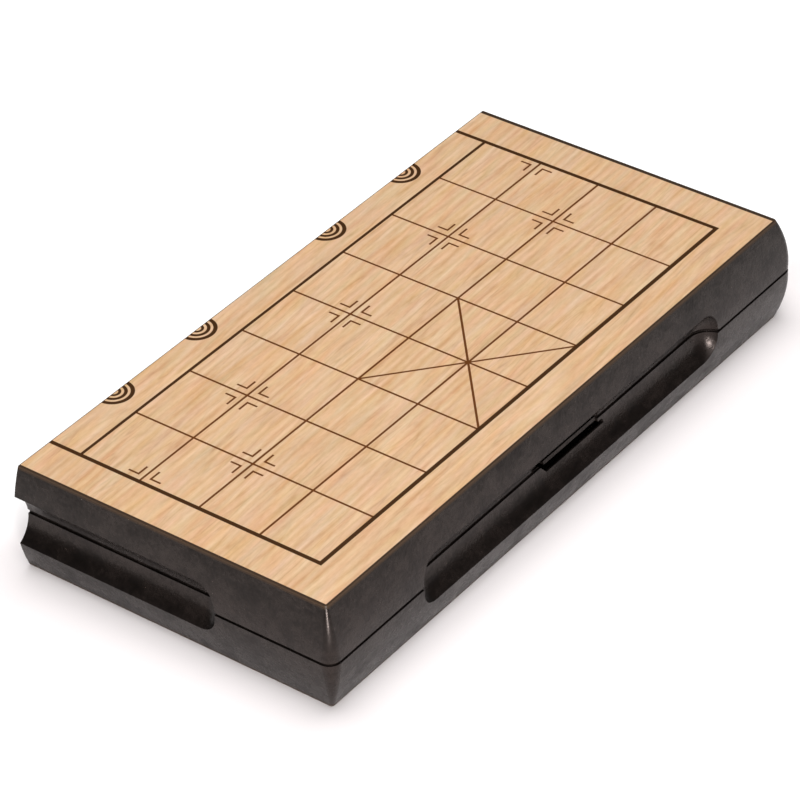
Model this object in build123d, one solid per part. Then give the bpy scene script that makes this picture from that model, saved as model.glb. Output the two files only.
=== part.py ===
from build123d import *
import math
import os

os.makedirs("parts", exist_ok=True)

# ---------------------------------------------------------------------------
# Folding travel xiangqi box: two shallow shells hinged along the back long
# side. Each shell carries half of the playing grid on its outer face and one
# army in a foam tray inside. Millimetres. +Z up, closed box lying flat,
# origin at the middle of its underside, +X along the long side, the latch
# looks towards -Y and the hinge is on the +Y side.
# ---------------------------------------------------------------------------

# outer body
L_TOP = 246.6            # reference length of each flat playing face
W_TOP = 122.35           # reference depth of each flat playing face
H = 19.8                 # height of one half; the parting plane is at z = H
B_FRONT = 4.7            # how far the front wall bulges out at the parting plane
B_SIDE = 4.3             # the same on the two short walls
E_FRONT = 0.55           # the outer face reaches this far beyond W_TOP at the front
E_LEFT = 0.45            # and this far beyond L_TOP at the left end
DRAFT = 0.3              # lean of the hinge side over one half's height
R_EDGE = 1.1             # vertical corner radius at the outer face
R_PART = 4.6             # vertical corner radius at the parting plane
WALL = 2.2               # shell wall
RECESS = 1.5             # depth taken by the panel and the steel sheet
FLOOR = 1.8              # shell floor under the recess
RIM_GAP = 0.1            # each rim stops this far from the parting plane
STEP_H = 0.55            # shadow line: outer step of each rim, height
STEP_IN = 0.8            # shadow line: outer step of each rim, depth
STEP_GROOVE = (0.6, 0.9) # height of the same step along the finger grooves, lower and upper half

# playing panel over the whole outer face, steel sheet set into the shell under it
SHEET_IN = 4.0           # the steel sheet's pocket stops this far inside the reference edges
T_PANEL = 1.0
T_STEEL = 0.5

# finger grooves (arc section with its axis on the parting plane, closed ends
# rounded over)
R_GROOVE = 10.8
OUT_FRONT = 9.35         # front groove axis outside the playing face's edge
OUT_SIDE = 8.95          # the same for the side grooves
FRONT_END = 81.7         # front groove ends at x = -/+ this
SIDE_RUN = 81.4          # side grooves end this far from the hinge face
R_END = 7.5              # rounding of the closed ends

# hinge
R_KNUCKLE = 2.6
R_PIN = 1.0
C_PIN = 0.05             # radial running clearance of the pin
KN_LEN = 6.0
KN_GAP = 0.3
HINGE_X = 84.0           # middle of each knuckle group at x = -/+ this
FACE_GAP = 0.15          # each hinge face stops this far from the hinge axis

# latch
LATCH_LO = (-9.0, 20.3)  # notch in the lower rim, along x
LATCH_LO_TOP = -11.9     # its left end at the rim, leaning down to the first value
LATCH_LO_SLOT = 22.9     # its lower part runs on to here as a slot
LATCH_LO_Z = 3.4         # its depth below the parting plane
LATCH_UP = (-14.8, 20.2) # notch in the upper rim, along x
LATCH_UP_Z = 2.5         # its height above the parting plane
PAD_X = (-8.75, 20.0)    # press pad of the latch lever
T_LPIN = 6.6             # latch pin axis, inwards from the playing face's edge
Z_LPIN = 7.8             # latch pin axis height
R_LPIN = 0.8
EAR_X = ((-12.5, -10.6), (26.6, 28.5))

# game pieces and trays
D_PIECE = 21.5
T_PIECE = 8.0
PIECE_EDGE = 0.9
ENGRAVE = 0.35
D_MAGNET = 8.0
T_MAGNET = 2.0
T_FOAM = 6.0
D_POCKET = 22.5
COL = 25.5
ROW_BACK, ROW_MID, ROW_FRONT = 40.0, 9.0, -22.0

# derived: the box around everything is centred on the origin
Y_AXIS = (W_TOP + FACE_GAP + B_FRONT + R_KNUCKLE) / 2 - R_KNUCKLE   # hinge axis
Y_BACK = Y_AXIS - FACE_GAP                                          # hinge faces
Y_FRONT = Y_BACK - W_TOP                                            # front edge of the playing faces
Z_FLOOR = RECESS + FLOOR


def bulge(b, z, e=0.0):
    """Wall line outside the reference edge: e at the outer face, b at the parting plane."""
    c = b - e
    r = (H * H + c * c) / (2 * c)
    d = H - min(z, H)
    return e + math.sqrt(r * r - d * d) - (r - c)


def corner(z):
    return R_EDGE + (R_PART - R_EDGE) * (min(z, H) / H) ** 1.15


def outline(z, inset=0.0, back=None):
    """Closed wire of the wall's plan at height z, moved in by inset."""
    xl = -L_TOP / 2 - bulge(B_SIDE, z, E_LEFT) + inset
    xr = L_TOP / 2 + bulge(B_SIDE, z) - inset
    yf = Y_FRONT - bulge(B_FRONT, z, E_FRONT) + inset
    yb = Y_BACK - DRAFT * (1 - min(z, H) / H) - (inset if back is None else back)
    r = max(corner(z) - inset, 0.5)
    k = r * (1 - math.sqrt(0.5))
    e = [
        Line((xl, yb, z), (xl, yf + r, z)),
        ThreePointArc((xl, yf + r, z), (xl + k, yf + k, z), (xl + r, yf, z)),
        Line((xl + r, yf, z), (xr - r, yf, z)),
        ThreePointArc((xr - r, yf, z), (xr - k, yf + k, z), (xr, yf + r, z)),
        Line((xr, yf + r, z), (xr, yb, z)),
        Line((xr, yb, z), (xl, yb, z)),
    ]
    return Wire(e)


def box(x0, x1, y0, y1, z0, z1):
    return Pos((x0 + x1) / 2, (y0 + y1) / 2, (z0 + z1) / 2) * Box(x1 - x0, y1 - y0, z1 - z0)


def rod_x(r, x0, x1, y, z):
    return Pos((x0 + x1) / 2, y, z) * (Rot(0, 90, 0) * Cylinder(r, x1 - x0))


def rod_y(r, y0, y1, x, z):
    return Pos(x, (y0 + y1) / 2, z) * (Rot(90, 0, 0) * Cylinder(r, y1 - y0))


def groove_bar(r, x0, x1, blend, both):
    """Half round bar along x with its flat side on y = 0 and the arc towards +y.
    The end at x1, and the one at x0 if both is set, is rounded over by blend."""
    bar = Pos((x0 + x1) / 2, 0, 0) * (Rot(0, 90, 0) * Cylinder(r, x1 - x0))
    bar = bar & box(x0 - 1, x1 + 1, 0, r + 1, -r - 1, r + 1)
    rims = [e for e in bar.edges().filter_by(GeomType.CIRCLE) if e.center().X > x1 - 0.01 or both]
    return bar.solids()[0].fillet(blend, rims)


def grooves(wall):
    """The three finger grooves as one cutting body, grown by wall."""
    r = R_GROOVE + wall
    end = FRONT_END + wall
    g = Pos(0, Y_FRONT - OUT_FRONT, H) * groove_bar(r, -end, end, R_END + wall, True)
    # side groove drawn along +x from the open hinge end, then turned
    bar = groove_bar(r, -5.0, SIDE_RUN + wall, R_END + wall, False)
    right = Rot(0, 0, 90) * mirror(bar, about=Plane.YZ)
    right = Pos(L_TOP / 2 + OUT_SIDE, Y_BACK, H) * right
    left = mirror(right, about=Plane.YZ)
    return g + left + right


def polygon_prism(pts, z0, z1):
    f = Face(Wire.make_polygon([Vector(x, y, z0) for x, y in pts], close=True))
    return extrude(f, amount=z1 - z0, dir=(0, 0, 1))


def profile_y(pts, y0, y1):
    """Prism along y of a closed (x, z) profile."""
    f = Face(Wire.make_polygon([Vector(x, y0, z) for x, z in pts], close=True))
    return extrude(f, amount=y1 - y0, dir=(0, 1, 0))


def profile_x(pts, x0, x1):
    """Prism along x of a closed (y, z) profile."""
    f = Face(Wire.make_polygon([Vector(x0, y, z) for y, z in pts], close=True))
    return extrude(f, amount=x1 - x0, dir=(1, 0, 0))


# ---------------------------------------------------------------------------
# bare half shell (lower one; the upper one is its mirror image)
# ---------------------------------------------------------------------------
LEVELS = [0, 2.5, 5.5, 9.0, 12.5, 16.0, H]
outer = loft([Face(outline(z)) for z in LEVELS])
inner_levels = [Z_FLOOR, 5.5, 9.0, 12.5, 16.0, H]
inner = loft([Face(outline(z, WALL)) for z in inner_levels])
inner = inner + extrude(Face(outline(H, WALL)), amount=2.0, dir=(0, 0, 1))
cavity = inner - grooves(WALL)

# land of the rim: everything above it outside the land is the shadow line
land = extrude(Face(outline(H, STEP_IN, back=0.0)), amount=-STEP_H, dir=(0, 0, 1))
land = land - grooves(STEP_IN)
slab = box(-200, 200, -100, 100, H - STEP_H, H)

bare = outer - grooves(0.0) - cavity
bare = (bare & box(-200, 200, -100, 100, -1, H - STEP_H)) + (bare & land)
bare = bare - box(-200, 200, -100, 100, H - RIM_GAP, H + 5)
groove_step = grooves(STEP_IN)
bare = bare - (groove_step & box(-200, 200, -100, 100, H - STEP_GROOVE[0], H + 5))

PX0 = -L_TOP / 2 + SHEET_IN
PX1 = L_TOP / 2 - SHEET_IN
PY0 = Y_FRONT + SHEET_IN
PY1 = Y_BACK - SHEET_IN
bare = bare - box(-200, 200, -100, 100, -1, T_PANEL)
bare = bare - box(PX0, PX1, PY0, PY1, T_PANEL - 0.5, RECESS)

# corner posts for the locating pegs and their sockets
POST_Y = Y_FRONT + 5.2
POSTS = (-117.5, -104.0, 104.0, 117.5)
for x in POSTS:
    bare += Pos(x, POST_Y, (Z_FLOOR - 0.5 + H - RIM_GAP) / 2) * Cylinder(3.2, H - RIM_GAP - Z_FLOOR + 0.5)

# bars behind the hinge knuckles
GROUP = 5 * KN_LEN + 4 * KN_GAP
for s in (-1, 1):
    bare += box(s * HINGE_X - GROUP / 2 - 2.5, s * HINGE_X + GROUP / 2 + 2.5, Y_BACK - 6.0, Y_BACK - 0.5, H - 7.0, H - RIM_GAP)


def mirrored(shape):
    return mirror(shape, about=Plane.XY.offset(H))


def knuckle_spans(own):
    """x spans of one half's knuckles: the lower half has three per group."""
    out = []
    for s in (-1, 1):
        x = s * HINGE_X - GROUP / 2
        for i in range(5):
            if (i % 2 == 0) == own:
                out.append((x, x + KN_LEN))
            x += KN_LEN + KN_GAP
    return out


def hinge(shell, own):
    for x0, x1 in knuckle_spans(not own):
        shell -= rod_x(R_KNUCKLE + 0.35, x0 - KN_GAP, x1 + KN_GAP, Y_AXIS, H)
    for x0, x1 in knuckle_spans(own):
        shell += rod_x(R_KNUCKLE, x0, x1, Y_AXIS, H)
    for s in (-1, 1):
        shell -= rod_x(R_PIN + C_PIN, s * HINGE_X - GROUP / 2 - 0.2, s * HINGE_X + GROUP / 2 + 0.2, Y_AXIS, H)
    return shell


def pegs(shell, xs_peg, xs_socket, up):
    """Locating pegs on some posts, sockets in the others. up is +1 or -1."""
    for x in xs_peg:
        z0 = H - up * RIM_GAP
        peg = Cylinder(1.5, 3.0 + R_KNUCKLE, align=(Align.CENTER, Align.CENTER, Align.MIN))
        peg = chamfer(peg.edges().filter_by(GeomType.CIRCLE).sort_by(Axis.Z)[-1], 0.5)
        if up < 0:
            peg = mirror(peg, about=Plane.XY)
        shell += Pos(x, POST_Y, z0 - up * 3.0 + up * RIM_GAP) * peg
    for x in xs_socket:
        shell -= Pos(x, POST_Y, H - up * 1.8) * Cylinder(1.9, 3.6)
    return shell


# lower shell --------------------------------------------------------------
lower = hinge(bare, True)
lower = pegs(lower, (-104.0, 117.5), (-117.5, 104.0), +1)
zl = H - LATCH_LO_Z
lower -= profile_y([(LATCH_LO_TOP - 1.0, H + 1), (LATCH_LO_TOP, H), (LATCH_LO[0], zl), (LATCH_LO_SLOT, zl),
                    (LATCH_LO_SLOT, zl + 1.0), (LATCH_LO_SLOT - 0.7, zl + 1.7), (LATCH_LO[1], zl + 1.7),
                    (LATCH_LO[1], H + 1)], Y_FRONT - 2, Y_FRONT + 5.2)
# the wall is relieved behind the slot, which leaves a thin lip under it
lower -= box(LATCH_LO[0] + 0.6, LATCH_LO_SLOT - 0.6, Y_FRONT + 1.55, Y_FRONT + 5.2, zl - 2.4, zl + 0.1)
YL = Y_FRONT + T_LPIN
for x0, x1 in EAR_X:
    ear = box(x0, x1, YL - 3.6, YL + 3.2, Z_FLOOR - 0.5, Z_LPIN) + rod_x(3.0, x0, x1, YL, Z_LPIN)
    lower += ear
lower -= rod_x(R_LPIN + C_PIN, EAR_X[0][0] - 1, EAR_X[1][1] + 1, YL, Z_LPIN)
# pair of ribs that hold the foot of the leaf spring
SPR_X = (2.0, 13.0)
Y_SPR = YL + 5.6
lower += box(SPR_X[0] - 1, SPR_X[1] + 1, Y_SPR - 1.3, Y_SPR - 0.2, Z_FLOOR - 0.5, Z_FLOOR + 2.0)
lower += box(SPR_X[0] - 1, SPR_X[1] + 1, Y_SPR + 0.25, Y_SPR + 1.3, Z_FLOOR - 0.5, Z_FLOOR + 2.0)

# upper shell --------------------------------------------------------------
upper = hinge(mirrored(bare), False)
upper -= groove_step & box(-200, 200, -100, 100, H - 1, H + STEP_GROOVE[1])
upper = pegs(upper, (-117.5, 104.0), (-104.0, 117.5), -1)
upper -= box(LATCH_UP[0], LATCH_UP[1], Y_FRONT - 2, Y_FRONT + 5.2, H - 1, H + LATCH_UP_Z)
# scoop at the left end of the upper notch
scoop = polygon_prism([(-17.3, Y_FRONT + 1.1), (-14.7, Y_FRONT + 1.1), (-14.7, Y_FRONT + 2.3)], H - 1, H + LATCH_UP_Z - 0.3)
upper -= scoop
# catch bar for the latch hook
upper += box(-2.0, 17.0, Y_FRONT + 2.4, Y_FRONT + 4.6, H + 2.9, H + 4.4)

# ---------------------------------------------------------------------------
# sheets and panels
# ---------------------------------------------------------------------------
lower_steel = box(PX0 + 0.1, PX1 - 0.1, PY0 + 0.1, PY1 - 0.1, T_PANEL, T_PANEL + T_STEEL)
lower_panel = outer & box(-200, 200, -100, 100, -1, T_PANEL)

# ---------------------------------------------------------------------------
# hinge pins and latch
# ---------------------------------------------------------------------------
def hinge_pin(s):
    p = rod_x(R_PIN, s * HINGE_X - GROUP / 2 + 0.1, s * HINGE_X + GROUP / 2 - 0.1, Y_AXIS, H)
    return chamfer(p.edges().filter_by(GeomType.CIRCLE), 0.25)


latch_pin = rod_x(R_LPIN, EAR_X[0][0], EAR_X[1][1], YL, Z_LPIN)
latch_pin = chamfer(latch_pin.edges().filter_by(GeomType.CIRCLE), 0.2)

# lever: barrel on the pin, web plate, hook nose, sloping press pad
LX0, LX1 = EAR_X[0][1] + 0.3, EAR_X[1][0] - 0.3
T_PLATE = (5.9, 7.4)
lever = rod_x(2.4, LX0, LX1, YL, Z_LPIN)
lever += box(-6.0, 21.0, Y_FRONT + T_PLATE[0], Y_FRONT + T_PLATE[1], Z_LPIN, H + 6.6)
lever += profile_x([(Y_FRONT + T_PLATE[0] + 0.2, H + 5.0), (Y_FRONT + 4.95, H + 5.2), (Y_FRONT + 4.95, H + 5.6),
                    (Y_FRONT + T_PLATE[0] + 0.2, H + 6.6)], -2.5, 17.5)
lever += profile_x([(Y_FRONT + 2.05, H - 1.1), (Y_FRONT + 2.48, H - 0.05), (Y_FRONT + 2.75, H - 0.05),
                    (Y_FRONT + 3.30, H - 0.6), (Y_FRONT + T_PLATE[0] + 0.2, H - 0.6),
                    (Y_FRONT + T_PLATE[0] + 0.2, H - 1.9)], PAD_X[0], PAD_X[1])
# stiffening ribs on the back of the plate
for x in (-5.0, 20.0):
    lever += profile_x([(Y_FRONT + T_PLATE[1] - 0.2, Z_LPIN + 1), (Y_FRONT + T_PLATE[1] + 1.0, Z_LPIN + 1.5),
                        (Y_FRONT + T_PLATE[1] - 0.2, H + 2)], x - 0.6, x + 0.6)
lever -= rod_x(R_LPIN + C_PIN, LX0 - 1, LX1 + 1, YL, Z_LPIN)

# leaf spring: foot between the two floor ribs, blade leaning towards the lever
y0s, y1s = Y_SPR - 0.15, Y_SPR + 0.2
spring = profile_x([(y0s, Z_FLOOR), (y1s, Z_FLOOR), (y1s, Z_FLOOR + 7.0), (y1s - 1.2, Z_FLOOR + 11.5),
                    (y1s - 1.5, Z_FLOOR + 12.0), (y1s - 1.2, Z_FLOOR + 12.6), (y1s - 1.45, Z_FLOOR + 12.8),
                    (y1s - 1.9, Z_FLOOR + 12.0), (y1s - 1.5, Z_FLOOR + 11.3), (y0s, Z_FLOOR + 6.8)], SPR_X[0], SPR_X[1])

# ---------------------------------------------------------------------------
# foam trays
# ---------------------------------------------------------------------------
BACK_X = [COL * i for i in range(-4, 5)]
KINDS = {
    "general": [(0.0, ROW_BACK)],
    "advisors": [(-COL, ROW_BACK), (COL, ROW_BACK)],
    "elephants": [(-2 * COL, ROW_BACK), (2 * COL, ROW_BACK)],
    "horses": [(-3 * COL, ROW_BACK), (3 * COL, ROW_BACK)],
    "chariots": [(-4 * COL, ROW_BACK), (4 * COL, ROW_BACK)],
    "cannons": [(-3 * COL, ROW_MID), (3 * COL, ROW_MID)],
    "soldiers": [(COL * i, ROW_FRONT) for i in (-4, -2, 0, 2, 4)],
}
PLACES = [p for k in KINDS.values() for p in k]

fx = L_TOP / 2 + bulge(B_SIDE, Z_FLOOR) - WALL - 0.7
fy0 = Y_FRONT - bulge(B_FRONT, Z_FLOOR) + WALL + 0.7
fy1 = Y_BACK - WALL - 0.5
foam = box(-fx, fx, fy0, fy1, Z_FLOOR, Z_FLOOR + T_FOAM)
for x, y in PLACES:
    foam -= Pos(x, y, Z_FLOOR + T_FOAM / 2) * Cylinder(D_POCKET / 2, T_FOAM + 2)
    # pinch notches left and right of each pocket
    foam -= box(x - 4.5, x + 4.5, y - D_POCKET / 2 - 3.2, y + D_POCKET / 2 + 3.2, Z_FLOOR + 2.5, Z_FLOOR + T_FOAM + 1)
for s in (-1, 1):
    foam -= box(s * 111 - 12.5, s * 111 + 12.5, fy0 - 1, POST_Y + 4.2, 0, H)
lower_foam = foam - box(EAR_X[0][0] - 1.5, EAR_X[1][1] + 1.5, fy0 - 1, Y_SPR + 3.0, 0, H)
upper_foam = mirrored(foam - box(-12, 27, fy0 - 1, Y_FRONT + 10.5, 0, H))


# ---------------------------------------------------------------------------
# game pieces: discs with a ring and one plain geometric mark per kind
# ---------------------------------------------------------------------------
def star(n, r0, r1):
    return [((r0 if i % 2 == 0 else r1) * math.sin(math.pi * i / n),
             (r0 if i % 2 == 0 else r1) * math.cos(math.pi * i / n)) for i in range(2 * n)]


def ngon(n, r, turn=0.0):
    return [(r * math.sin(2 * math.pi * i / n + turn), r * math.cos(2 * math.pi * i / n + turn)) for i in range(n)]


def mark(kind):
    z0, z1 = T_PIECE - ENGRAVE, T_PIECE + 1
    if kind == "general":
        return polygon_prism(star(8, 6.4, 3.9), z0, z1)
    if kind == "advisors":
        return polygon_prism([(0, 6.2), (4.0, 0), (0, -6.2), (-4.0, 0)], z0, z1)
    if kind == "elephants":
        return polygon_prism(ngon(6, 5.4), z0, z1)
    if kind == "horses":
        return polygon_prism(ngon(3, 6.0), z0, z1)
    if kind == "chariots":
        return polygon_prism(ngon(4, 6.0, math.pi / 4), z0, z1)
    if kind == "cannons":
        return Pos(0, 0, (z0 + z1) / 2) * (Cylinder(5.4, z1 - z0) - Cylinder(2.8, z1 - z0))
    return Pos(0, 0, (z0 + z1) / 2) * Cylinder(3.0, z1 - z0)


def piece(kind):
    d = Cylinder(D_PIECE / 2, T_PIECE, align=(Align.CENTER, Align.CENTER, Align.MIN))
    d = fillet(d.edges().filter_by(GeomType.CIRCLE), PIECE_EDGE)
    ring = Cylinder(9.1, 2) - Cylinder(8.4, 2)
    d -= Pos(0, 0, T_PIECE - ENGRAVE + 1) * ring
    d -= mark(kind)
    d -= Pos(0, 0, (T_MAGNET + 0.1) / 2) * Cylinder(D_MAGNET / 2 + 0.1, T_MAGNET + 0.1)
    return d


def placed(shape, places):
    return [Pos(x, y, Z_FLOOR) * shape for x, y in places]


magnet = Cylinder(D_MAGNET / 2, T_MAGNET, align=(Align.CENTER, Align.CENTER, Align.MIN))
magnet = chamfer(magnet.edges().filter_by(GeomType.CIRCLE), 0.2)

# ---------------------------------------------------------------------------
# nodes
# ---------------------------------------------------------------------------
nodes = {
    "lower_shell": [lower],
    "upper_shell": [upper],
    "lower_steel_sheet": [lower_steel],
    "upper_steel_sheet": [mirrored(lower_steel)],
    "lower_playing_panel": [lower_panel],
    "upper_playing_panel": [mirrored(lower_panel)],
    "hinge_pin_left": [hinge_pin(-1)],
    "hinge_pin_right": [hinge_pin(1)],
    "latch_lever": [lever],
    "latch_pivot_pin": [latch_pin],
    "latch_leaf_spring": [spring],
    "lower_foam_tray": [lower_foam],
    "upper_foam_tray": [upper_foam],
    "black_piece_magnets": placed(magnet, PLACES),
    "red_piece_magnets": [mirrored(m) for m in placed(magnet, PLACES)],
}
for kind, places in KINDS.items():
    p = piece(kind)
    nodes["black_" + kind] = placed(p, places)
    nodes["red_" + kind] = [mirrored(q) for q in placed(p, places)]

for name, shapes in nodes.items():
    solids = []
    for s in shapes:
        solids += list(s.solids())
    out = solids[0] if len(solids) == 1 else Compound(children=solids)
    export_step(out, "parts/" + name + ".step")
    b = out.bounding_box()
    print("%-24s solids %2d  x %8.2f %8.2f  y %8.2f %8.2f  z %6.2f %6.2f" % (
        name, len(solids), b.min.X, b.max.X, b.min.Y, b.max.Y, b.min.Z, b.max.Z))
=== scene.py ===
import math

import bpy
from mathutils import Matrix, Vector

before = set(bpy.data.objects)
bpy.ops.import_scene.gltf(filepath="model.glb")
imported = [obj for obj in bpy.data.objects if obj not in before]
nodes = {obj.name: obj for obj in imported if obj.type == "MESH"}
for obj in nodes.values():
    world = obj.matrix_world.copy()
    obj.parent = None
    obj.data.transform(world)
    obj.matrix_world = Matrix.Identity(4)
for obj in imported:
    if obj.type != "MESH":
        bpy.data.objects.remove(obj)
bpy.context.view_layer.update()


# ---------------------------------------------------------------------------
# a small helper for node trees
# ---------------------------------------------------------------------------
class Tree:
    def __init__(self, name):
        self.mat = bpy.data.materials.new(name)
        self.mat.use_nodes = True
        self.nt = self.mat.node_tree
        self.nt.nodes.clear()
        self.out = self.nt.nodes.new("ShaderNodeOutputMaterial")
        self.bsdf = self.nt.nodes.new("ShaderNodeBsdfPrincipled")
        self.nt.links.new(self.bsdf.outputs["BSDF"], self.out.inputs["Surface"])

    def put(self, socket, value):
        if value is None:
            return
        if isinstance(value, bpy.types.NodeSocket):
            self.nt.links.new(value, socket)
        else:
            socket.default_value = value

    def m(self, op, a, b=None, c=None, clamp=False):
        n = self.nt.nodes.new("ShaderNodeMath")
        n.operation = op
        n.use_clamp = clamp
        for s, v in zip(n.inputs, (a, b, c)):
            self.put(s, v)
        return n.outputs[0]

    def add(self, a, b):
        return self.m("ADD", a, b)

    def sub(self, a, b):
        return self.m("SUBTRACT", a, b)

    def mul(self, a, b):
        return self.m("MULTIPLY", a, b)

    def maxi(self, *v):
        r = v[0]
        for x in v[1:]:
            r = self.m("MAXIMUM", r, x)
        return r

    def mini(self, *v):
        r = v[0]
        for x in v[1:]:
            r = self.m("MINIMUM", r, x)
        return r

    def absv(self, a):
        return self.m("ABSOLUTE", a)

    def smooth(self, v, a, b, lo=0.0, hi=1.0):
        n = self.nt.nodes.new("ShaderNodeMapRange")
        n.interpolation_type = "SMOOTHSTEP"
        n.clamp = True
        self.put(n.inputs["Value"], v)
        n.inputs["From Min"].default_value = a
        n.inputs["From Max"].default_value = b
        n.inputs["To Min"].default_value = lo
        n.inputs["To Max"].default_value = hi
        return n.outputs["Result"]

    def ramp(self, v, a, b, lo=0.0, hi=1.0):
        n = self.nt.nodes.new("ShaderNodeMapRange")
        n.clamp = True
        self.put(n.inputs["Value"], v)
        n.inputs["From Min"].default_value = a
        n.inputs["From Max"].default_value = b
        n.inputs["To Min"].default_value = lo
        n.inputs["To Max"].default_value = hi
        return n.outputs["Result"]

    def near(self, d, half, soft=0.06):
        """1 where |d| < half, 0 outside, with a soft edge."""
        return self.smooth(self.absv(d), half - soft, half + soft, 1.0, 0.0)

    def within(self, v, a, b, soft=0.06):
        up = self.smooth(v, a - soft, a + soft)
        down = self.smooth(v, b - soft, b + soft, 1.0, 0.0)
        return self.mul(up, down)

    def xyz(self):
        """Place in millimetres of the row frame; it goes with the body."""
        tc = self.nt.nodes.new("ShaderNodeTexCoord")
        sc = self.nt.nodes.new("ShaderNodeVectorMath")
        sc.operation = "SCALE"
        self.nt.links.new(tc.outputs["Object"], sc.inputs[0])
        sc.inputs["Scale"].default_value = 1000.0
        se = self.nt.nodes.new("ShaderNodeSeparateXYZ")
        self.nt.links.new(sc.outputs[0], se.inputs[0])
        return se.outputs[0], se.outputs[1], se.outputs[2]

    def vec(self, x, y, z):
        n = self.nt.nodes.new("ShaderNodeCombineXYZ")
        for s, v in zip(n.inputs, (x, y, z)):
            self.put(s, v)
        return n.outputs[0]

    def noise(self, x, y, z, fx, fy, fz, detail=0.0, rough=0.5, off=(0, 0, 0), distortion=0.0):
        """Noise of fx, fy, fz cycles per millimetre, about 0.5."""
        v = self.vec(
            self.add(self.mul(x, fx), off[0]),
            self.add(self.mul(y, fy), off[1]),
            self.add(self.mul(z, fz), off[2]),
        )
        n = self.nt.nodes.new("ShaderNodeTexNoise")
        n.inputs["Scale"].default_value = 1.0
        n.inputs["Detail"].default_value = detail
        n.inputs["Roughness"].default_value = rough
        n.inputs["Distortion"].default_value = distortion
        self.nt.links.new(v, n.inputs["Vector"])
        return n.outputs[0]

    def cells(self, x, y, z, f, feature="F1", out="Distance", rand=1.0):
        n = self.nt.nodes.new("ShaderNodeTexVoronoi")
        n.feature = feature
        n.inputs["Scale"].default_value = 1.0
        n.inputs["Randomness"].default_value = rand
        v = self.vec(self.mul(x, f), self.mul(y, f), self.mul(z, f))
        self.nt.links.new(v, n.inputs["Vector"])
        return n.outputs[out]

    def mix(self, f, a, b):
        n = self.nt.nodes.new("ShaderNodeMix")
        n.data_type = "RGBA"
        n.clamp_factor = True
        self.put(n.inputs[0], f)
        self.put(n.inputs[6], a)
        self.put(n.inputs[7], b)
        return n.outputs[2]

    def rgb(self, r, g, b):
        n = self.nt.nodes.new("ShaderNodeCombineColor")
        for s, v in zip(n.inputs, (r, g, b)):
            self.put(s, v)
        return n.outputs[0]

    def bump(self, height, distance, strength=1.0, normal=None):
        n = self.nt.nodes.new("ShaderNodeBump")
        n.inputs["Strength"].default_value = strength
        n.inputs["Distance"].default_value = distance
        self.nt.links.new(height, n.inputs["Height"])
        if normal is not None:
            self.nt.links.new(normal, n.inputs["Normal"])
        return n.outputs[0]

    def finish(self, color=None, rough=None, metallic=None, normal=None, **constants):
        self.put(self.bsdf.inputs["Base Color"], color)
        self.put(self.bsdf.inputs["Roughness"], rough)
        self.put(self.bsdf.inputs["Metallic"], metallic)
        self.put(self.bsdf.inputs["Normal"], normal)
        for k, v in constants.items():
            self.bsdf.inputs[k].default_value = v
        return self.mat


def srgb(r, g, b):
    def f(c):
        c /= 255.0
        return c / 12.92 if c <= 0.04045 else ((c + 0.055) / 1.055) ** 2.4
    return (f(r), f(g), f(b), 1.0)


# ---------------------------------------------------------------------------
# playing panels: wood-grain sheet with the printed half grid
# ---------------------------------------------------------------------------
HINGE_FACE = 62.15      # y of the hinge side's face
GRID_X = -0.42          # x of the grid's middle file
PITCH_X, PITCH_Y = 27.0, 24.0
BANK = 12.85            # river bank, measured from the hinge face


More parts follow.
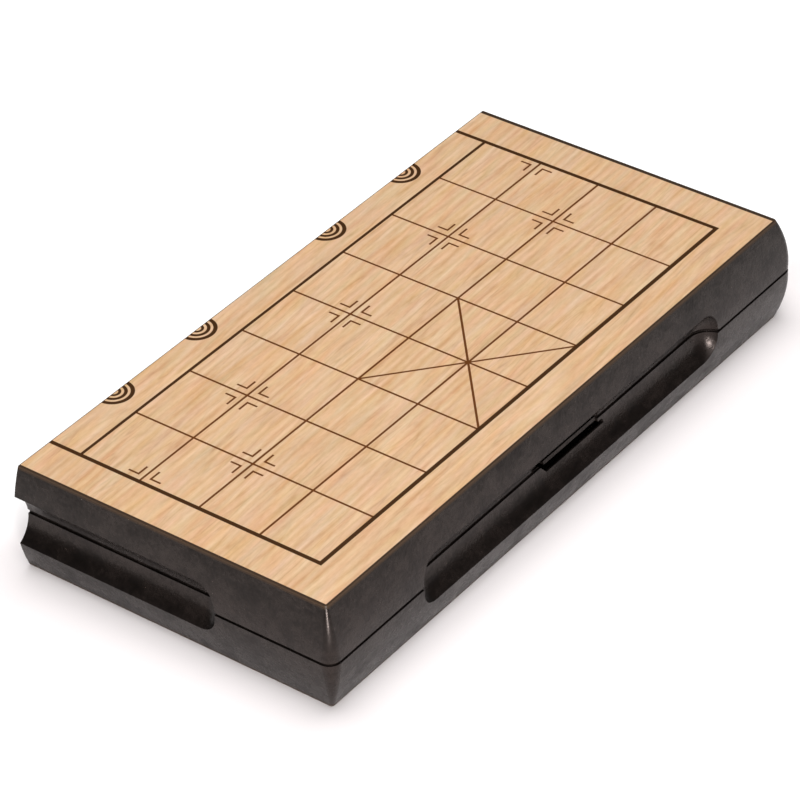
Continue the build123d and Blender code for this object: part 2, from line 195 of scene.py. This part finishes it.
def panel_material():
    t = Tree("panel_woodgrain")
    X, Y, Z = t.xyz()
    x = t.sub(X, GRID_X)
    yd = t.sub(HINGE_FACE, Y)
    ax = t.absv(x)

    # --- grain ---------------------------------------------------------
    sl = t.sub(Y, t.mul(X, 0.034))
    warp = t.sub(t.noise(X, Y, Z, 0.010, 0.030, 0.05, 1.0, 0.5, (3.1, 7.7, 0.4)), 0.5)
    warp2 = t.sub(t.noise(X, Y, Z, 0.050, 0.100, 0.05, 1.0, 0.5, (13.1, 1.7, 4.4)), 0.5)
    yw = t.add(t.add(sl, t.mul(warp, 4.0)), t.mul(warp2, 0.8))
    n0 = t.sub(t.noise(X, yw, Z, 0.014, 0.040, 0.02, 0.0, 0.5, (8.3, 2.2, 1.9)), 0.5)
    n1 = t.sub(t.noise(X, yw, Z, 0.024, 0.130, 0.02, 0.0, 0.5, (1.7, 4.3, 9.1)), 0.5)
    n2 = t.sub(t.noise(X, yw, Z, 0.036, 0.360, 0.02, 0.0, 0.5, (21.7, 14.3, 2.1)), 0.5)
    n3 = t.sub(t.noise(X, yw, Z, 0.080, 0.850, 0.02, 0.0, 0.6, (5.2, 34.9, 6.6)), 0.5)
    n4 = t.sub(t.noise(X, yw, Z, 0.450, 1.500, 0.02, 1.0, 0.6, (15.2, 3.9, 6.6)), 0.5)
    # thin darker growth lines
    r1 = t.smooth(t.absv(t.sub(t.noise(X, yw, Z, 0.034, 0.300, 0.02, 0.0, 0.5, (9.9, 5.1, 3.3)), 0.5)), 0.0, 0.06, 1.0, 0.0)
    r2 = t.smooth(t.absv(t.sub(t.noise(X, yw, Z, 0.055, 0.520, 0.02, 0.0, 0.5, (2.9, 15.1, 8.3)), 0.5)), 0.0, 0.09, 1.0, 0.0)
    fade = t.ramp(t.noise(X, Y, Z, 0.035, 0.070, 0.02, 1.0, 0.5, (6.1, 6.2, 6.3)), 0.35, 0.62)
    lines = t.mul(t.sub(t.add(t.mul(r1, 2.1), t.mul(r2, 1.7)), 0.95), t.add(t.mul(fade, 0.7), 0.3))
    # evenly spaced annual rings, fading in and out
    phase = t.add(t.mul(yw, 2.10), t.mul(t.noise(X, Y, Z, 0.016, 0.060, 0.02, 1.0, 0.5, (5.1, 44.2, 7.3)), 9.0))
    rings = t.mul(t.m("SINE", phase), t.ramp(t.noise(X, yw, Z, 0.030, 0.090, 0.02, 0.0, 0.5, (33.1, 8.2, 2.3)), 0.30, 0.70, 0.55, 1.35))
    g0 = t.add(t.mul(n1, 1.4), t.mul(n0, 1.0))
    g1 = t.add(t.add(t.mul(n2, 3.2), t.mul(n3, 3.8)), t.add(t.mul(n4, 3.0), t.add(t.mul(lines, 0.8), t.mul(rings, 0.58))))
    m1 = t.sub(t.noise(X, yw, Z, 0.030, 0.150, 0.02, 0.0, 0.5, (41.7, 24.3, 19.1)), 0.5)
    m2 = t.sub(t.noise(X, yw, Z, 0.036, 0.270, 0.02, 0.0, 0.5, (61.7, 44.3, 12.1)), 0.5)
    m3 = t.sub(t.noise(X, yw, Z, 0.300, 0.500, 0.02, 1.0, 0.5, (1.7, 4.3, 1.1)), 0.5)
    # a slanting pink and cream shimmer over the streaks
    xr = t.add(t.mul(X, 0.934), t.mul(Y, 0.358))
    yr = t.sub(t.mul(Y, 0.934), t.mul(X, 0.358))
    m4 = t.sub(t.noise(xr, yr, Z, 0.060, 0.360, 0.02, 0.5, 0.5, (11.7, 54.3, 19.1)), 0.5)
    m5 = t.sub(t.noise(X, Y, Z, 0.045, 0.070, 0.02, 0.0, 0.5, (71.7, 14.3, 29.1)), 0.5)
    g2 = t.add(t.add(t.add(t.mul(m1, 2.6), t.mul(m2, 4.6)), t.mul(m3, 1.0)), t.add(t.add(t.mul(m4, 3.6), t.mul(m5, 0.6)), t.mul(rings, 0.55)))
    base = (0.606, 0.391, 0.229)
    k0 = (-0.0250, -0.0240, -0.0200)
    k1 = (-0.0315, -0.0250, -0.0190)
    k2 = (0.0010, -0.0120, -0.0158)
    m6 = t.sub(t.noise(X, yw, Z, 0.060, 0.330, 0.02, 0.5, 0.5, (8.7, 64.3, 1.1)), 0.5)
    blush = t.mul(m6, 4.5)
    k3 = (0.0070, -0.0085, 0.0050)
    chan = [
        t.add(t.add(t.add(t.add(t.mul(g0, k0[i]), t.mul(g1, k1[i])), t.mul(g2, k2[i])), t.mul(blush, k3[i])), base[i])
        for i in range(3)
    ]
    wood = t.rgb(*chan)

    # --- print ---------------------------------------------------------

    last = BANK + 4 * PITCH_Y
    thin, bank, side, foot = 0.40, 0.58, 0.79, 0.79
    in_x = t.smooth(ax, 108.0 + side - 0.06, 108.0 + side + 0.06, 1.0, 0.0)
    rank = t.sub(t.m("MODULO", t.add(t.sub(yd, BANK), PITCH_Y * 1.5), PITCH_Y), PITCH_Y / 2)
    ranks = t.mul(t.mul(t.near(rank, thin), t.within(yd, BANK + 12, last - 12)), in_x)
    river = t.mul(t.near(t.sub(yd, BANK), bank), in_x)
    bottom = t.mul(t.near(t.sub(yd, last), foot), in_x)
    fil = t.sub(t.m("MODULO", t.add(ax, PITCH_X / 2), PITCH_X), PITCH_X / 2)
    files = t.mul(
        t.mul(t.near(fil, thin), t.smooth(ax, 94.4, 94.6, 1.0, 0.0)),
        t.within(yd, BANK, last),
    )
    border = t.mul(t.near(t.sub(ax, 108.0), side), t.smooth(yd, last + foot - 0.06, last + foot + 0.06, 1.0, 0.0))
    py = t.absv(t.sub(yd, last - PITCH_Y))
    cross = t.m("DIVIDE", t.sub(t.mul(ax, PITCH_Y), t.mul(py, PITCH_X)), math.hypot(PITCH_X, PITCH_Y))
    palace = t.mul(t.near(cross, thin), t.smooth(ax, PITCH_X - 0.06, PITCH_X + 0.06, 1.0, 0.0))

    def corner(dx, dy):
        up = t.mul(t.near(t.sub(dx, 2.95), 0.38), t.within(dy, 2.12, 6.5))
        flat = t.mul(t.near(t.sub(dy, 2.5), 0.38), t.within(dx, 2.57, 7.3))
        return t.maxi(up, flat)

    sx = t.absv(t.sub(t.m("MODULO", t.add(ax, PITCH_X), 2 * PITCH_X), PITCH_X))
    sy = t.absv(t.sub(yd, BANK + PITCH_Y))
    soldiers = t.mul(corner(sx, sy), t.smooth(ax, 107.9, 108.1, 1.0, 0.0))
    cx = t.absv(t.sub(ax, 3 * PITCH_X))
    cy = t.absv(t.sub(yd, BANK + 2 * PITCH_Y))
    cannons = corner(cx, cy)

    # plain wave arcs in the river, cut by the fold
    wx = t.mini(t.absv(t.sub(ax, 34.5)), t.absv(t.sub(ax, 76.5)))
    rad = t.m("SQRT", t.add(t.mul(wx, wx), t.mul(yd, yd)))
    waves = t.maxi(
        t.near(t.sub(rad, 6.1), 0.72, 0.1),
        t.near(t.sub(rad, 3.9), 0.60, 0.1),
        t.near(t.sub(rad, 1.9), 0.50, 0.1),
    )
    thick = t.maxi(river, bottom, border, waves)
    fine = t.maxi(ranks, files, palace, soldiers, cannons)
    ink = t.maxi(thick, t.mul(fine, 0.97))
    outer = t.m("GREATER_THAN", t.absv(t.sub(Z, 19.8)), 19.3)
    ink = t.mul(ink, outer)
    inkv = t.noise(X, Y, Z, 0.9, 0.9, 0.9, 2.0, 0.6)
    inkc = t.mix(inkv, (0.039, 0.0150, 0.0036, 1), (0.056, 0.0215, 0.0052, 1))
    inkf = t.mix(inkv, (0.090, 0.0210, 0.0000, 1), (0.110, 0.0290, 0.0010, 1))
    # the printed sheet stops short of the panel's edges
    lip = t.mini(t.mini(t.add(X, 122.85), t.sub(121.75, X)), t.mini(t.add(Y, 60.0), t.sub(61.62, Y)))
    lip = t.smooth(lip, -0.12, 0.12, 1.0, 0.0)
    color = t.mix(lip, wood, (0.040, 0.023, 0.013, 1))
    color = t.mix(t.mul(t.mul(fine, 0.97), outer), color, inkf)
    color = t.mix(t.mul(thick, outer), color, inkc)
    # cut edge of the sheet
    color = t.mix(outer, t.mix(inkv, (0.020, 0.012, 0.008, 1), (0.034, 0.021, 0.013, 1)), color)

    pores = t.noise(X, yw, Z, 0.30, 2.2, 0.2, 2.0, 0.6, (2.2, 8.8, 3.1))
    h = t.add(pores, t.mul(ink, 0.5))
    nrm = t.bump(h, 0.00002, 0.35)
    rough = t.add(t.ramp(pores, 0.2, 0.8, 0.40, 0.50), t.mul(ink, -0.06))
    return t.finish(color, rough, 0.0, nrm, **{"Specular IOR Level": 0.16})


# ---------------------------------------------------------------------------
# moulded plastic
# ---------------------------------------------------------------------------
def black_plastic(name, seed=0.0, gloss=0.0):
    t = Tree(name)
    X, Y, Z = t.xyz()
    big = t.noise(X, Y, Z, 0.035, 0.035, 0.07, 3.0, 0.6, (seed, 1.0, 2.0))
    mid = t.noise(X, Y, Z, 0.22, 0.22, 0.30, 2.0, 0.6, (seed, 5.0, 9.0))
    tex = t.noise(X, Y, Z, 0.85, 0.85, 0.85, 3.0, 0.65, (seed, 3.0, 7.0))
    spot = t.noise(X, Y, Z, 0.11, 0.11, 0.14, 3.0, 0.62, (seed, 15.0, 19.0))
    shade = t.add(t.add(t.mul(big, 0.25), t.mul(spot, 0.30)), t.add(t.mul(mid, 0.20), t.mul(tex, 0.25)))
    color = t.mix(t.ramp(shade, 0.42, 0.60), (0.0016, 0.0011, 0.0009, 1), (0.0125, 0.0094, 0.0082, 1))
    rough = t.ramp(shade, 0.38, 0.62, 0.43 - gloss, 0.15 - gloss)
    nrm = t.bump(t.add(t.mul(tex, 0.8), t.mul(mid, 0.5)), 0.00014, 0.85)
    return t.finish(color, rough, 0.0, nrm, **{"Specular IOR Level": 0.28, "Specular Tint": (1.0, 0.82, 0.76, 1.0)})


def piece_material(name, mark):
    """Discs in wood-coloured plastic, with the engraved ring and mark filled in."""
    t = Tree(name)
    X, Y, Z = t.xyz()
    yw = t.add(Y, t.mul(t.sub(t.noise(X, Y, Z, 0.05, 0.12, 0.05, 1.0), 0.5), 5.0))
    g = t.add(
        t.mul(t.sub(t.noise(X, yw, Z, 0.07, 0.45, 0.3, 1.0, 0.5, (2, 5, 8)), 0.5), 1.4),
        t.mul(t.sub(t.noise(X, yw, Z, 0.20, 1.6, 0.9, 1.0, 0.5, (7, 3, 1)), 0.5), 0.8),
    )
    wood = t.mix(t.add(g, 0.5), (0.50, 0.295, 0.135, 1), (0.735, 0.500, 0.275, 1))
    dx = t.sub(t.m("MODULO", t.add(X, 25.5 * 10 + 12.75), 25.5), 12.75)
    dy = t.sub(t.m("MODULO", t.add(Y, 31.0 * 10 - 9.0 + 15.5), 31.0), 15.5)
    r = t.m("SQRT", t.add(t.mul(dx, dx), t.mul(dy, dy)))
    low = t.within(Z, 9.0, 11.3 - 0.02, 0.01)
    top = t.within(Z, 28.3 + 0.02, 30.0, 0.01)
    cut = t.mul(t.maxi(low, top), t.smooth(r, 9.3, 9.4, 1.0, 0.0))
    wear = t.noise(X, Y, Z, 1.3, 1.3, 1.3, 2.0, 0.6)
    fill = t.mix(t.ramp(wear, 0.3, 0.8, 0.0, 0.35), mark, (mark[0] * 1.7 + 0.01, mark[1] * 1.7 + 0.01, mark[2] * 1.7 + 0.01, 1))
    color = t.mix(cut, wood, fill)
    fine = t.noise(X, yw, Z, 0.8, 3.5, 2.0, 2.0, 0.6)
    nrm = t.bump(fine, 0.00002, 0.4)
    rough = t.add(t.ramp(fine, 0.3, 0.7, 0.30, 0.38), t.mul(cut, 0.15))
    return t.finish(color, rough, 0.0, nrm, **{"Specular IOR Level": 0.5})


def rolled_steel(name, fx, fy, fz, value, rough):
    t = Tree(name)
    X, Y, Z = t.xyz()
    streak = t.noise(X, Y, Z, fx, fy, fz, 3.0, 0.65, (4, 2, 6))
    cloud = t.noise(X, Y, Z, 0.05, 0.05, 0.05, 3.0, 0.6, (1, 8, 3))
    shade = t.add(t.mul(streak, 0.6), t.mul(cloud, 0.4))
    color = t.mix(t.ramp(shade, 0.3, 0.7), (value * 0.82, value * 0.82, value * 0.84, 1), (value * 1.1, value * 1.09, value * 1.08, 1))
    rg = t.ramp(shade, 0.3, 0.7, rough - 0.06, rough + 0.08)
    nrm = t.bump(streak, 0.00001, 0.5)
    return t.finish(color, rg, 1.0, nrm)


def foam(name):
    t = Tree(name)
    X, Y, Z = t.xyz()
    cell = t.cells(X, Y, Z, 1.5)
    small = t.cells(X, Y, Z, 3.8)
    cloud = t.noise(X, Y, Z, 0.08, 0.08, 0.08, 2.0)
    h = t.add(t.mul(cell, 0.7), t.mul(small, 0.3))
    color = t.mix(t.ramp(h, 0.05, 0.6), (0.022, 0.022, 0.024, 1), (0.060, 0.060, 0.064, 1))
    color = t.mix(t.ramp(cloud, 0.3, 0.7, 0.0, 0.35), color, (0.050, 0.050, 0.054, 1))
    nrm = t.bump(h, 0.00022, 0.8)
    return t.finish(color, t.ramp(h, 0.0, 0.6, 0.95, 0.78), 0.0, nrm, **{"Specular IOR Level": 0.3})


def ferrite(name):
    t = Tree(name)
    X, Y, Z = t.xyz()
    grain = t.noise(X, Y, Z, 3.0, 3.0, 3.0, 3.0, 0.65)
    rub = t.noise(X, Y, Z, 0.4, 0.4, 0.4, 2.0, 0.6, (3, 3, 3))
    color = t.mix(t.ramp(t.add(t.mul(grain, 0.6), t.mul(rub, 0.4)), 0.35, 0.7), (0.035, 0.035, 0.037, 1), (0.120, 0.120, 0.125, 1))
    nrm = t.bump(grain, 0.00004, 0.6)
    return t.finish(color, t.ramp(rub, 0.3, 0.7, 0.42, 0.60), 0.35, nrm)


shell_lower = black_plastic("shell_black_lower", 0.0)
shell_upper = black_plastic("shell_black_upper", 11.0)
lever_mat = black_plastic("latch_black", 23.0, 0.02)
panel = panel_material()
sheet = rolled_steel("sheet_steel", 0.03, 1.6, 0.5, 0.52, 0.34)
pin = rolled_steel("pin_steel", 0.15, 3.0, 3.0, 0.60, 0.26)
spring = rolled_steel("spring_steel", 3.0, 3.0, 0.15, 0.50, 0.30)
foam_mat = foam("foam_grey")
magnet = ferrite("ferrite")
piece_red = piece_material("piece_red", (0.42, 0.020, 0.014, 1))
piece_black = piece_material("piece_black", (0.012, 0.011, 0.011, 1))

given = {
    "lower_shell": shell_lower, "upper_shell": shell_upper, "latch_lever": lever_mat,
    "lower_playing_panel": panel, "upper_playing_panel": panel,
    "lower_steel_sheet": sheet, "upper_steel_sheet": sheet,
    "hinge_pin_left": pin, "hinge_pin_right": pin, "latch_pivot_pin": pin,
    "latch_leaf_spring": spring,
    "lower_foam_tray": foam_mat, "upper_foam_tray": foam_mat,
    "black_piece_magnets": magnet, "red_piece_magnets": magnet,
}
for name, obj in nodes.items():
    mat = given.get(name) or (piece_red if name.startswith("red_") else piece_black)
    obj.data.materials.clear()
    obj.data.materials.append(mat)

# ---------------------------------------------------------------------------
# floor, light, camera
# ---------------------------------------------------------------------------
scene = bpy.context.scene
scene.view_settings.view_transform = "Standard"
scene.view_settings.look = "None"
scene.view_settings.exposure = 0.0
scene.view_settings.gamma = 1.0

bpy.ops.mesh.primitive_plane_add(size=14.0, location=(0, 0, -0.00005))
floor = bpy.context.object
floor.name = "floor"
ft = Tree("floor_paper")
FX, FY, FZ = ft.xyz()
fn = ft.noise(FX, FY, FZ, 0.02, 0.02, 0.02, 2.0)
# painted light: the floor is turned pure white away from the box, and behind and beside it, lifting the lamps'
# fall-off and the shadows the box casts there
painted_light_far = ft.smooth(ft.m("SQRT", ft.add(ft.mul(FX, FX), ft.mul(FY, FY))), 150.0, 260.0)
painted_light_behind = ft.smooth(ft.add(FY, ft.mul(FX, 0.25)), 40.0, 75.0)
painted_light_beside = ft.mul(ft.smooth(ft.add(FX, ft.mul(FY, 0.3)), 130.0, 160.0), ft.smooth(FY, -60.0, -30.0))
painted_light_behind = ft.maxi(painted_light_behind, painted_light_beside)
painted_light_far = ft.maxi(painted_light_far, painted_light_behind)
floor.data.materials.append(
    ft.finish(ft.mix(painted_light_far, ft.mix(fn, (0.84, 0.795, 0.795, 1), (0.87, 0.825, 0.825, 1)), (1.0, 1.0, 1.0, 1)), 0.9, 0.0, None, **{"Specular IOR Level": 0.0})
)
# painted light: the floor behind and beside the box glows a little, to lift the shadow the low lamps cast there
ft.put(ft.bsdf.inputs["Emission Color"], ft.mix(painted_light_behind, (0.0, 0.0, 0.0, 1), (1.0, 1.0, 1.0, 1)))
ft.bsdf.inputs["Emission Strength"].default_value = 0.15

world = bpy.data.worlds.new("studio")
scene.world = world
world.use_nodes = True
bg = world.node_tree.nodes["Background"]
bg.inputs["Color"].default_value = (1.0, 0.995, 0.99, 1.0)
bg.inputs["Strength"].default_value = 0.05


def area(name, where, at, size, power, shape="DISK", size_y=None):
    d = bpy.data.lights.new(name, "AREA")
    d.shape = shape
    d.size = size
    if size_y:
        d.size_y = size_y
    d.energy = power
    o = bpy.data.objects.new(name, d)
    scene.collection.objects.link(o)
    o.location = where
    o.rotation_mode = "QUATERNION"
    o.rotation_quaternion = (Vector(at) - Vector(where)).to_track_quat("-Z", "Y")
    return o


area("overhead", (0.08, 0.02, 1.9), (0, 0, 0), 1.77, 34.8)
area("camera_side", (-1.15, -1.20, 0.40), (0, 0, 0.02), 0.22, 16.5)
area("low_card", (-1.10, -1.00, 0.12), (0, 0, 0.03), 0.18, 21.0, "RECTANGLE", 0.20)
area("fill", (-0.80, -0.80, 1.40), (0, 0, 0.02), 1.0, 9.4, "RECTANGLE", 0.9)

cam_data = bpy.data.cameras.new("camera")
cam = bpy.data.objects.new("camera", cam_data)
scene.collection.objects.link(cam)
scene.camera = cam
cam_data.sensor_fit = "HORIZONTAL"
cam_data.sensor_width = 36.0
cam_data.lens = 182.315
cam_data.dof.use_dof = False
cam_data.clip_start = 0.05
cam_data.clip_end = 30.0
cam.matrix_world = Matrix((
    (0.6026586997, 0.4954213170, -0.6255878918, -0.8360833715),
    (-0.7970337261, 0.3351472981, -0.5024077309, -0.6649500390),
    (-0.0392394080, 0.8013950382, 0.5968469331, 0.8096581393),
    (0.0, 0.0, 0.0, 1.0),
))
